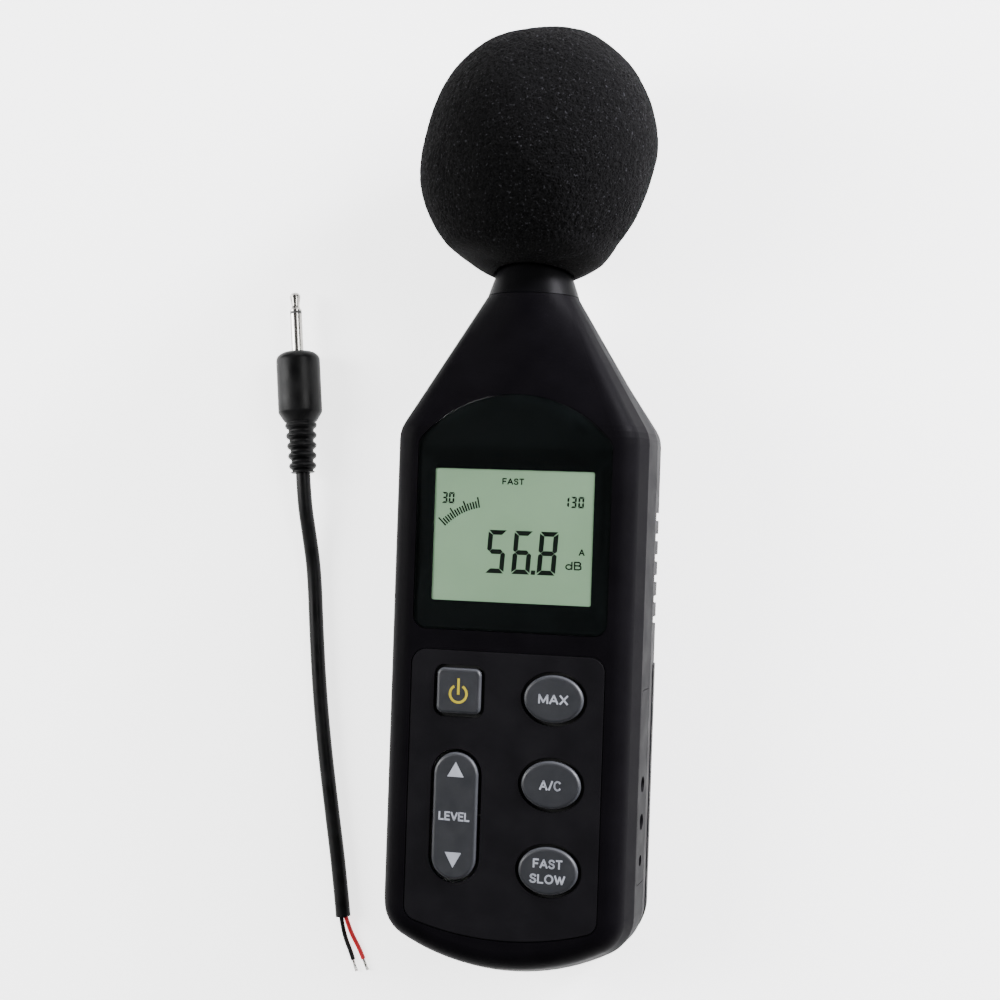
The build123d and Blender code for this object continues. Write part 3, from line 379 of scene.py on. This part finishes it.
FINISHES = {
    "casing": satin_plastic("casing", (0.0018, 0.0016, 0.0021), 0.46, shine=0.013),
    "keypad_plate": satin_plastic("keypad_plate", (0.0040, 0.0038, 0.0045), 0.46, 0.008, 0.03),
    "mask": satin_plastic("mask", (0.0014, 0.0024, 0.0028), 0.5, 0.001, 0.08),
    "window": lens_finish(),
    "key": key_finish(),
    "lcd": lcd_finish(),
    "silicone": soft_finish("silicone", (0.30, 0.31, 0.31)),
    "steel": turned_metal("steel", (0.62, 0.62, 0.60), 0.28),
    "inner_plastic": satin_plastic("inner_plastic", (0.015, 0.015, 0.015), 0.5),
    "board": board_finish(),
    "chip": satin_plastic("chip", (0.012, 0.012, 0.012), 0.6),
    "capacitor": turned_metal("capacitor", (0.45, 0.46, 0.50), 0.3),
    "trimmer": satin_plastic("trimmer", (0.02, 0.07, 0.25), 0.35),
    "brass": turned_metal("brass", (0.78, 0.56, 0.24), 0.25),
    "cell": satin_plastic("cell", (0.02, 0.03, 0.06), 0.28),
    "red_wire": soft_finish("red_wire", (0.42, 0.006, 0.012)),
    "black_wire": soft_finish("black_wire", (0.003, 0.003, 0.003), 0.2),
    "screw": turned_metal("screw", (0.05, 0.05, 0.055), 0.4),
    "collar": satin_plastic("collar", (0.0014, 0.0014, 0.0016), 0.36, 0.006, 0.02),
    "mic_metal": turned_metal("mic_metal", (0.55, 0.55, 0.56), 0.3),
    "foam": foam_finish(),
    "nickel": turned_metal("nickel", (0.36, 0.35, 0.33), 0.2),
    "cord_rubber": soft_finish("cord_rubber", (0.0022, 0.0022, 0.0024), 0.07),
    "tinned": turned_metal("tinned", (0.72, 0.70, 0.68), 0.25),
}
LEGEND = soft_finish("legend", (0.21, 0.22, 0.25))
LEGEND_YELLOW = soft_finish("legend_yellow", (0.25, 0.20, 0.006))
SEGMENT = soft_finish("segment", (0.001, 0.004, 0.002), 0.2)


def wear(piece, material):
    """Gives a piece its material, keeping one slot."""
    piece.data.materials.clear()
    piece.data.materials.append(material)


slots = {entry["node"]: entry["material_slot"] for entry in frame["record"]["subparts"]}
for name, node in nodes.items():
    for index in range(len(node.data.materials)):
        node.data.materials[index] = FINISHES[slots[name]]
wear(jacket, FINISHES["cord_rubber"])


# ------------------------------------------------------------------ lettering and symbols
PRINT = 0.03


def print_piece(name, outlines, body, material, z):
    """Printing as thin raised shapes: each outline is a convex polygon in the meter's x and y."""
    verts, faces = [], []
    for outline in outlines:
        count, first = len(outline), len(verts)
        verts += [at(x, y, z) for x, y in outline] + [at(x, y, z + PRINT) for x, y in outline]
        faces.append([first + count + index for index in range(count)])
        faces.append([first + index for index in reversed(range(count))])
        for index in range(count):
            after = (index + 1) % count
            faces.append([first + index, first + after, first + count + after, first + count + index])
    piece = mesh_piece(name, verts, faces, body, smooth=False)
    wear(piece, material)
    return piece


def round_stroke(first, last, step):
    """Points round a circle one high, at every so many degrees between two angles."""
    angles = [radians(degrees) for degrees in range(first, last, step)]
    return [(0.5 + 0.5 * cos(angle), 0.5 + 0.5 * sin(angle)) for angle in angles]


# Plain sans letters as strokes in a box one high: width, then lines of points
BOWL = round_stroke(0, 361, 24)
LETTERS = {
    "A": (0.80, [[(0, 0), (0.5, 1), (1, 0)], [(0.18, 0.32), (0.82, 0.32)]]),
    "B": (0.62, [
        [(0, 0), (0, 1), (0.65, 1), (0.9, 0.88), (0.9, 0.66), (0.65, 0.53), (0, 0.53)],
        [(0.65, 0.53), (1, 0.4), (1, 0.13), (0.7, 0), (0, 0)],
    ]),
    "C": (0.74, [round_stroke(42, 320, 23)]),
    "E": (0.58, [[(1, 0), (0, 0), (0, 1), (1, 1)], [(0, 0.52), (0.88, 0.52)]]),
    "F": (0.56, [[(0, 0), (0, 1), (1, 1)], [(0, 0.5), (0.85, 0.5)]]),
    "L": (0.54, [[(0, 1), (0, 0), (1, 0)]]),
    "M": (0.86, [[(0, 0), (0, 1), (0.5, 0.12), (1, 1), (1, 0)]]),
    "O": (0.84, [BOWL]),
    "S": (0.62, [[
        (0.96, 0.8), (0.8, 0.95), (0.5, 1), (0.2, 0.95), (0.05, 0.76), (0.18, 0.6), (0.5, 0.52),
        (0.82, 0.44), (0.97, 0.25), (0.82, 0.06), (0.5, 0), (0.18, 0.05), (0, 0.22),
    ]]),
    "T": (0.66, [[(0, 1), (1, 1)], [(0.5, 1), (0.5, 0)]]),
    "V": (0.76, [[(0, 1), (0.5, 0), (1, 1)]]),
    "W": (1.06, [[(0, 1), (0.27, 0), (0.5, 0.9), (0.73, 0), (1, 1)]]),
    "X": (0.74, [[(0, 0), (1, 1)], [(0, 1), (1, 0)]]),
    "/": (0.36, [[(0, 0), (1, 1)]]),
    "d": (0.58, [[(1, 0), (1, 1)], [(x, y * 0.64) for x, y in BOWL]]),
}
LETTER_GAP = 0.27


def stroke_quads(points, half):
    """Each run between two points as a bar, made a little longer so that the corners close."""
    quads = []
    for first, second in zip(points, points[1:]):
        a, b = Vector(first), Vector(second)
        way = (b - a).normalized()
        side = Vector((-way.y, way.x)) * half
        a, b = a - way * half * 0.6, b + way * half * 0.6
        quads.append([tuple(a - side), tuple(b - side), tuple(b + side), tuple(a + side)])
    return quads


def word_quads(words, spot, size, stroke):
    """A word with its middle at a spot, as long and high as the size, in strokes that wide."""
    length = sum(LETTERS[letter][0] for letter in words) + LETTER_GAP * (len(words) - 1)
    across, tall = (size[0] - stroke) / length, size[1] - stroke
    x, quads = -length / 2, []
    for letter in words:
        width, lines = LETTERS[letter]
        for line in lines:
            placed = [(spot[0] + (x + u * width) * across, spot[1] + (v - 0.5) * tall) for u, v in line]
            quads += stroke_quads(placed, stroke / 2)
        x += width + LETTER_GAP
    return quads


def ring_quads(centre, inner, outer, start_angle, end_angle, count):
    """A flat arc as convex quads."""
    quads = []
    for step in range(count):
        first, last = [start_angle + (end_angle - start_angle) * (step + end) / count for end in (0, 1)]
        corners = ((inner, first), (outer, first), (outer, last), (inner, last))
        quads.append([
            (centre[0] + radius * cos(angle), centre[1] + radius * sin(angle)) for radius, angle in corners
        ])
    return quads


# For each key, its words with their middle, and their length and height
KEY_PRINT_Z = KEY_TOP_Z - 0.005
KEY_STROKE = 0.46
KEY_WORDS = {
    "max_key": [("MAX", (KEY_X, OVAL_YS[0]), (8.0, 2.6))],
    "weighting_key": [("A/C", (KEY_X, OVAL_YS[1]), (6.0, 2.7))],
    "response_key": [
        ("FAST", (KEY_X, OVAL_YS[2] + 2.0), (8.0, 2.5)),
        ("SLOW", (KEY_X, OVAL_YS[2] - 2.0), (9.6, 2.5)),
    ],
    "level_rocker": [("LEVEL", (-KEY_X, LEVEL_Y), (8.6, 2.4))],
}
for key, entries in KEY_WORDS.items():
    letters = [quad for entry in entries for quad in word_quads(*entry, KEY_STROKE)]
    print_piece(f"legend_{key}", letters, key, LEGEND, KEY_PRINT_Z)
ARROW_HALF = 2.25
arrows = [
    [(-KEY_X - ARROW_HALF, 53.6), (-KEY_X + ARROW_HALF, 53.6), (-KEY_X, 57.6)],
    [(-KEY_X + ARROW_HALF, 33.5), (-KEY_X - ARROW_HALF, 33.5), (-KEY_X, 29.4)],
]
print_piece("legend_arrows", arrows, "level_rocker", LEGEND, KEY_PRINT_Z)
POWER_CENTRE = (-KEY_X, POWER_Y - 0.7)
power_ring = ring_quads(POWER_CENTRE, 1.95, 2.6, radians(120), radians(420), 40)
bar_corners = ((-0.33, -0.2), (0.33, -0.2), (0.33, 4.1), (-0.33, 4.1))
power_bar = [[(POWER_CENTRE[0] + x, POWER_CENTRE[1] + y) for x, y in bar_corners]]
print_piece("legend_power", power_ring + power_bar, "power_key", LEGEND_YELLOW, KEY_PRINT_Z)

# The display's segments, as bars with a small gap where they meet
DIGIT_BARS = {"0": "abcdef", "1": "bc", "3": "abcdg", "5": "acdfg", "6": "acdefg", "8": "abcdefg"}


def digit_bars(digit, x, y, width, height, bar, slant, gap):
    """Seven-segment bars of one digit whose lower left corner is at x, y."""
    half = bar / 2
    right, middle = width, height / 2
    flat_bar = {"a": height - half, "g": middle, "d": half}
    bars = []
    for name in DIGIT_BARS[digit]:
        if name in flat_bar:
            level = flat_bar[name]
            outer_side = half if name == "a" else -half
            if name == "g":
                shape = [
                    (half + gap, level), (bar + gap, level - half), (right - bar - gap, level - half),
                    (right - half - gap, level), (right - bar - gap, level + half),
                    (bar + gap, level + half),
                ]
            else:
                shape = [
                    (gap * 1.5, level + outer_side), (right - gap * 1.5, level + outer_side),
                    (right - bar - gap, level - outer_side), (bar + gap, level - outer_side),
                ]
        else:
            left_side = name in "ef"
            low, high = (gap, middle - gap) if name in "ce" else (middle + gap, height - gap)
            edge, inner = (0, bar) if left_side else (right, right - bar)
            centre = half if left_side else right - half
            if name in "ce":
                shape = [
                    (edge, low + half * 0.6), (inner, low + bar), (inner, high - half),
                    (centre, high), (edge, high - half * 0.8),
                ]
            else:
                shape = [
                    (edge, low + half * 0.8), (centre, low), (inner, low + half),
                    (inner, high - bar), (edge, high - half * 0.6),
                ]
        shape = [(x + px + slant * py, y + py) for px, py in shape]
        area = sum(p[0] * q[1] - q[0] * p[1] for p, q in zip(shape, shape[1:] + shape[:1]))
        bars.append(shape if area > 0 else shape[::-1])
    return bars


# The reading, as digits with the y of their foot and their width, height, bar, slant and gap
READING_FOOT = 108.1
LARGE_DIGIT = (READING_FOOT, 5.0, 11.5, 1.25, 0.06, 0.06)
LOW_END_DIGIT = (126.3, 1.55, 3.0, 0.5, 0.03, 0.03)
HIGH_END_DIGIT = (126.1, 1.55, 3.0, 0.5, 0.03, 0.03)
DIGITS = [
    ("5", -7.2, LARGE_DIGIT), ("6", -0.1, LARGE_DIGIT), ("8", 6.8, LARGE_DIGIT),
    ("3", -19.8, LOW_END_DIGIT), ("0", -17.9, LOW_END_DIGIT),
    ("1", 13.4, HIGH_END_DIGIT), ("3", 15.4, HIGH_END_DIGIT), ("0", 17.4, HIGH_END_DIGIT),
]
POINT_LEFT, POINT_SIDE = 5.25, 1.15
GAUGE_CENTRE = (-5.85, 108.2)
GAUGE_RADIUS = 17.5
GAUGE_FIRST, GAUGE_STEP, GAUGE_COUNT = 136.0, 2.3, 16
TICK_HALF = 0.21
DISPLAY_WORDS = [
    ("FAST", (-0.3, 132.6), (6.0, 1.75), 0.34),
    ("A", (18.8, 114.5), (1.6, 1.8), 0.34),
    ("dB", (16.7, 110.9), (4.4, 2.3), 0.38),
]


def gauge_ticks():
    """The scale's ticks along an arc, with every fifth one longer."""
    ticks = []
    for step in range(GAUGE_COUNT):
        angle = radians(GAUGE_FIRST - step * GAUGE_STEP)
        length = 2.9 if step % 5 == 0 else 1.9
        ray = Vector((cos(angle), sin(angle)))
        side = Vector((-sin(angle), cos(angle))) * TICK_HALF
        inner, outer = ray * GAUGE_RADIUS, ray * (GAUGE_RADIUS + length)
        corners = (inner - side, outer - side, outer + side, inner + side)
        ticks.append([(GAUGE_CENTRE[0] + p.x, GAUGE_CENTRE[1] + p.y) for p in corners])
    return ticks


def reading_outlines():
    """Everything that the display shows: digits, decimal point, scale and small words."""
    outlines = [bar for digit, x, kind in DIGITS for bar in digit_bars(digit, x, *kind)]
    point_corners = ((0, 0), (POINT_SIDE, 0), (POINT_SIDE + 0.1, POINT_SIDE), (0.1, POINT_SIDE))
    outlines.append([(POINT_LEFT + x, READING_FOOT + y) for x, y in point_corners])
    outlines += gauge_ticks()
    for entry in DISPLAY_WORDS:
        outlines += word_quads(*entry)
    return outlines


print_piece("lcd_reading", reading_outlines(), "casing", SEGMENT, LCD_Z + 0.02)


# ------------------------------------------------------------------ foam windscreen
FOAM_AROUND = 420
SKIN_STEPS = 215
BORE_END_Y = 229.5
PORE_SPACING = 1.05
LUMP_SPACING = 14
FUZZ_SPACING = 0.8
PORE_DEPTH = 0.34
SKIN_INSET = 0.35
LIP_RISE = 2.5
LIP_REACH = 9
MOUTH_RADIUS = 11.6
MOUTH_Y = BALL_Y - BALL_HALF_LENGTH * sin(acos(MOUTH_RADIUS / BALL_RADIUS))
FLOOR_Y = COLLAR_TOP_Y + FOAM_GAP


def foam_profile():
    """Half of the ball's outline as (radius, place along) from the far pole to the bore's end."""
    mouth = acos(MOUTH_RADIUS / BALL_RADIUS)
    points = []
    for step in range(SKIN_STEPS + 1):
        angle = pi / 2 - (pi / 2 + mouth) * step / SKIN_STEPS
        points.append((BALL_RADIUS * cos(angle), BALL_Y + BALL_HALF_LENGTH * sin(angle)))
    socket = COLLAR_TOP_RADIUS + FOAM_GAP
    bore = MIC_RADIUS + FOAM_GAP
    points += [(socket + 1.0, MOUTH_Y + 0.5), (socket + 0.3, MOUTH_Y + 1.6)]
    points += [(socket, FLOOR_Y - 0.4), (socket, FLOOR_Y)]
    points += [(bore, FLOOR_Y), (bore, 210.0), (bore, BORE_END_Y), (0.0, BORE_END_Y)]
    return points


# Where handling has pushed the ball in or left it full: direction, spread and push
DENTS = [
    (Vector((-0.86, 0.50, 0.05)).normalized(), 0.60, -1.0),
    (Vector((0.76, -0.65, 0.05)).normalized(), 0.60, -1.3),
    (Vector((-0.08, 1.0, 0.0)).normalized(), 0.86, -1.1),
    (Vector((-0.70, -0.70, 0.1)).normalized(), 0.55, 1.2),
    (Vector((0.75, 0.66, 0.1)).normalized(), 0.55, 1.1),
]


def smooth_rise(value):
    """Eases a value between 0 and 1 in and out."""
    return value * value * (3 - 2 * value)


def skin_move(spot, ray):
    """How far handling, lumps and open cells move a point of the ball's skin outwards."""
    cell = noise.voronoi(spot / PORE_SPACING, distance_metric="DISTANCE")[0]
    pit = min(1, max(0, (cell[0] - 0.12) / 0.5))
    lumps = noise.fractal(spot / LUMP_SPACING, 1.0, 2.0, 2)
    fuzz = noise.noise(spot / FUZZ_SPACING)
    move = 0.3 * lumps
    for way, start_at, push in DENTS:
        move += push * smooth_rise(max(0, (ray.dot(way) - start_at) / (1 - start_at)))
    return move - SKIN_INSET - PORE_DEPTH * (1 - pit) + 0.06 * fuzz


def lip_rise(vert):
    """How far the mouth's lip, stretched over the front of the collar, is drawn up at a point."""
    radius = sqrt(vert.x**2 + vert.z**2)
    if radius < COLLAR_TOP_RADIUS or vert.y > MOUTH_Y + LIP_REACH or vert.z <= 0:
        return 0
    front = min(1, vert.z / 11) ** 1.3
    if vert.y < FLOOR_Y and radius < MOUTH_RADIUS:
        near = (FLOOR_Y - vert.y) / (FLOOR_Y - MOUTH_Y)
    else:
        near = max(0, 1 - (vert.y - MOUTH_Y) / LIP_REACH) ** 2
    return LIP_RISE * front * near


def foam_ball():
    """The foam ball with its open cells as real pits, and the soft dents it has from handling."""
    profile = foam_profile()
    verts, faces = [], []
    for radius, y in profile:
        for step in range(FOAM_AROUND):
            angle = tau * step / FOAM_AROUND
            verts.append(Vector((radius * cos(angle), y, radius * sin(angle))))
    for row in range(len(profile) - 1):
        for step in range(FOAM_AROUND):
            after = (step + 1) % FOAM_AROUND
            first, second = row * FOAM_AROUND, (row + 1) * FOAM_AROUND
            faces.append((first + step, first + after, second + after, second + step))
    centre = Vector((0, BALL_Y, 0))
    for index in range((SKIN_STEPS + 1) * FOAM_AROUND):
        spot = verts[index]
        ray = (spot - centre).normalized()
        # The rim that meets the collar keeps its place
        hold = min(1, max(0, (spot.y - 193) / 5))
        verts[index] = spot + ray * skin_move(spot, ray) * hold
    for vert in verts:
        vert.y += lip_rise(vert)
    mesh = bpy.data.meshes.new("foam_ball")
    mesh.from_pydata([tuple(METER @ vert) for vert in verts], [], faces)
    mesh.validate()
    form = bmesh.new()
    form.from_mesh(mesh)
    bmesh.ops.remove_doubles(form, verts=form.verts, dist=0.00002)
    bmesh.ops.recalc_face_normals(form, faces=form.faces)
    form.to_mesh(mesh)
    form.free()
    mesh.polygons.foreach_set("use_smooth", [True] * len(mesh.polygons))
    piece = link("foam_ball", mesh)
    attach(piece, "windscreen")
    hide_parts("windscreen")
    wear(piece, FINISHES["foam"])
    return piece


foam_ball()


# ------------------------------------------------------------------ the lead's plug, cores and strands
PLUG_TIP = Vector((-78.4, 59.9, 6.6))
PLUG_END = Vector((-72.6, 6.1, 6.6))
PLUG_WAY = (PLUG_END - PLUG_TIP).normalized()
PLUG_LENGTH = (PLUG_END - PLUG_TIP).length
SHAFT_LENGTH = 17.9
BODY_RADIUS = 6.5
BODY_END = 36.5
RIB_START = 39.0
RIB_COUNT = 5
RIB_ROWS = 12
RIB_SHARE = 0.66
PLUG_AROUND = 96
COLLAR_RADIUS = 3.2
SHOULDER_LENGTH = 2.6


def body_stations():
    """The plug body's outline as (place past the shaft, radius), from the shaft's foot to the ribs."""
    stations = [(0.0, 1.78), (0.0, COLLAR_RADIUS)]
    for step in range(1, 9):
        angle = pi / 2 * step / 8
        radius = COLLAR_RADIUS + (BODY_RADIUS - COLLAR_RADIUS) * sin(angle)
        stations.append((SHOULDER_LENGTH * (1 - cos(angle)), radius))
    stations += [(6.0 + 3 * step, BODY_RADIUS) for step in range(4)]
    heel = BODY_END - SHAFT_LENGTH
    stations += [(heel - 0.8, BODY_RADIUS), (heel - 0.3, BODY_RADIUS - 0.1)]
    stations.append((heel + 0.3, BODY_RADIUS - 0.45))
    stations.append((RIB_START - SHAFT_LENGTH - 0.3, 4.85))
    return stations


def rib_rings():
    """The strain relief's rings: full at each rib's crest, and cut in between, deepest at the sides."""
    pitch = (PLUG_LENGTH - RIB_START) / RIB_COUNT
    rings = []
    for rib in range(RIB_COUNT):
        for step in range(RIB_ROWS):
            phase = (step + 0.5) / RIB_ROWS
            crest = 4.75 - 0.16 * (rib + phase)
            swell = sin(pi * phase / RIB_SHARE) ** 0.5 if phase < RIB_SHARE else 0.0
            radii = []
            for index in range(PLUG_AROUND):
                across = abs(sin(tau * index / PLUG_AROUND))
                cut_depth = 0.85 + 0.55 * max(0.0, across - 0.62) / 0.38
                radii.append(crest - cut_depth * (1 - swell))
            rings.append((radii, RIB_START + (rib + phase) * pitch))
    return rings


def plug_grip():
    """The moulded plug body: domed shoulder, straight grip, taper, and a ribbed strain relief."""
    side = PLUG_WAY.cross(Vector((0, 0, 1)))
    up = Vector((0, 0, 1))
    rings = [([radius] * PLUG_AROUND, SHAFT_LENGTH + place_at) for place_at, radius in body_stations()]
    rings += rib_rings()
    for radius, back in ((3.6, 0.25), (3.3, 0.0), (2.17, 0.0)):
        rings.append(([radius] * PLUG_AROUND, PLUG_LENGTH - back))
    verts, faces = [], []
    for radii, place_at in rings:
        for index, radius in enumerate(radii):
            angle = tau * index / PLUG_AROUND
            point = PLUG_TIP + PLUG_WAY * place_at + side * radius * cos(angle) + up * radius * sin(angle)
            verts.append(point * MM)
    for row in range(len(rings) - 1):
        for index in range(PLUG_AROUND):
            after = (index + 1) % PLUG_AROUND
            first, second = row * PLUG_AROUND, (row + 1) * PLUG_AROUND
            faces.append((first + index, second + index, second + after, first + after))
    last = (len(rings) - 1) * PLUG_AROUND
    faces.append(list(range(PLUG_AROUND)))
    faces.append([last + index for index in reversed(range(PLUG_AROUND))])
    piece = mesh_piece("plug_grip", verts, faces, "output_lead")
    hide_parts("plug_body")
    wear(piece, FINISHES["cord_rubber"])
    return piece


STRAND_COUNT = 7
STRAND_RADIUS = 0.125
STRAND_RING = 0.27
STRAND_LENGTH = 3.7
STRAND_TWIST = 1.1


def strands(name, route, slot):
    """Tinned strands round a middle one, which twist and fan out a little at their cut ends."""
    last, before = Vector(route[-1]), Vector(route[-2])
    way = (last - before).normalized()
    side = way.cross(Vector((0, 0, 1))).normalized()
    up = side.cross(way)
    verts, faces = [], []
    around, rows = 8, 14
    for strand in range(STRAND_COUNT):
        base_angle = tau * strand / (STRAND_COUNT - 1)
        base_radius = 0.0 if strand == STRAND_COUNT - 1 else STRAND_RING
        for row in range(rows + 1):
            run = row / rows
            angle = base_angle + STRAND_TWIST * run
            fan = base_radius * (1 + 0.35 * run * run)
            reach = STRAND_LENGTH * run * (1 - 0.03 * (strand % 3))
            centre = last + way * (reach - 0.3)
            centre += side * fan * cos(angle) + up * fan * sin(angle)
            for index in range(around):
                turn_angle = tau * index / around
                point = centre + (side * cos(turn_angle) + up * sin(turn_angle)) * STRAND_RADIUS
                verts.append(point * MM)
        first = strand * (rows + 1) * around
        for row in range(rows):
            for index in range(around):
                after = (index + 1) % around
                a, b = first + row * around, first + (row + 1) * around
                faces.append((a + index, b + index, b + after, a + after))
        faces.append([first + index for index in range(around)])
        faces.append([first + rows * around + index for index in reversed(range(around))])
    piece = mesh_piece(name, verts, faces, "output_lead")
    wear(piece, FINISHES[slot])
    return piece


grip = plug_grip()
core_routes = {"red": RED_ROUTE, "black": BLACK_ROUTE}
for colour, route in core_routes.items():
    wire = f"{colour}_wire"
    line = nurbs_line(f"{wire}_line", metres(route), CORE_RADIUS * MM, "output_lead")
    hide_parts(f"{colour}_core")
    wear(line, FINISHES[wire])
for colour, route in core_routes.items():
    bare = strands(f"{colour}_strands", route, "tinned")
    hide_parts(f"{colour}_bare_end")


# ------------------------------------------------------------------ floor and light
FLOOR_GLOW = 2.4
FLOOR_HALF = 3.0
FLOOR_WHITES = ((0.86, 0.86, 0.86), (0.88, 0.88, 0.88))


def floor_piece():
    """A plain pale sheet under everything."""
    corners = [(x * FLOOR_HALF, y * FLOOR_HALF, 0) for x, y in ((-1, -1), (1, -1), (1, 1), (-1, 1))]
    mesh = bpy.data.meshes.new("floor")
    mesh.from_pydata(corners, [], [(0, 1, 2, 3)])
    piece = link("floor", mesh)
    white = look("floor", (0.87, 0.87, 0.87), 0.9, Specular_IOR_Level=0.0, Emission_Strength=FLOOR_GLOW)
    white.node_tree.nodes["Principled BSDF"].inputs["Emission Color"].default_value = (1, 1, 1, 1)
    join(white, blend_colours(white, grain(white, 400), *FLOOR_WHITES), "Base Color")
    wear(piece, white)
    return piece


def softbox(name, spot, aim, size, power, colour=(1, 1, 1)):
    """A rectangular area light at a spot, turned towards an aim, all in metres."""
    light = bpy.data.lights.new(name, "AREA")
    light.shape = "RECTANGLE"
    light.size, light.size_y = size
    light.energy = power
    light.color = colour
    piece = link(name, light)
    piece.location = spot
    piece.rotation_mode = "QUATERNION"
    piece.rotation_quaternion = (Vector(aim) - Vector(spot)).to_track_quat("-Z", "Y")
    return piece


floor_piece()
softbox("left_light", (-1.2, 0.1, 0.9), (0, 0, 0), (0.7, 1.0), 30)
softbox("right_light", (1.1, 0.35, 0.65), (0, 0.03, 0), (0.6, 1.2), 38)
softbox("left_strip", (-1.0, 0.15, 0.3), (0, 0.02, 0.02), (0.25, 1.1), 14)
softbox("right_strip", (0.85, 0.68, 0.2), (0.02, 0.06, 0.02), (0.22, 0.5), 55, (0.94, 0.92, 1.0))
softbox("far_light", (0.1, 1.3, 0.6), (0, 0, 0), (0.9, 0.4), 12)
world = bpy.data.worlds.new("studio")
scene.world = world
world.use_nodes = True
world.node_tree.nodes["Background"].inputs["Color"].default_value = (1, 1, 1, 1)
world.node_tree.nodes["Background"].inputs["Strength"].default_value = 0.12
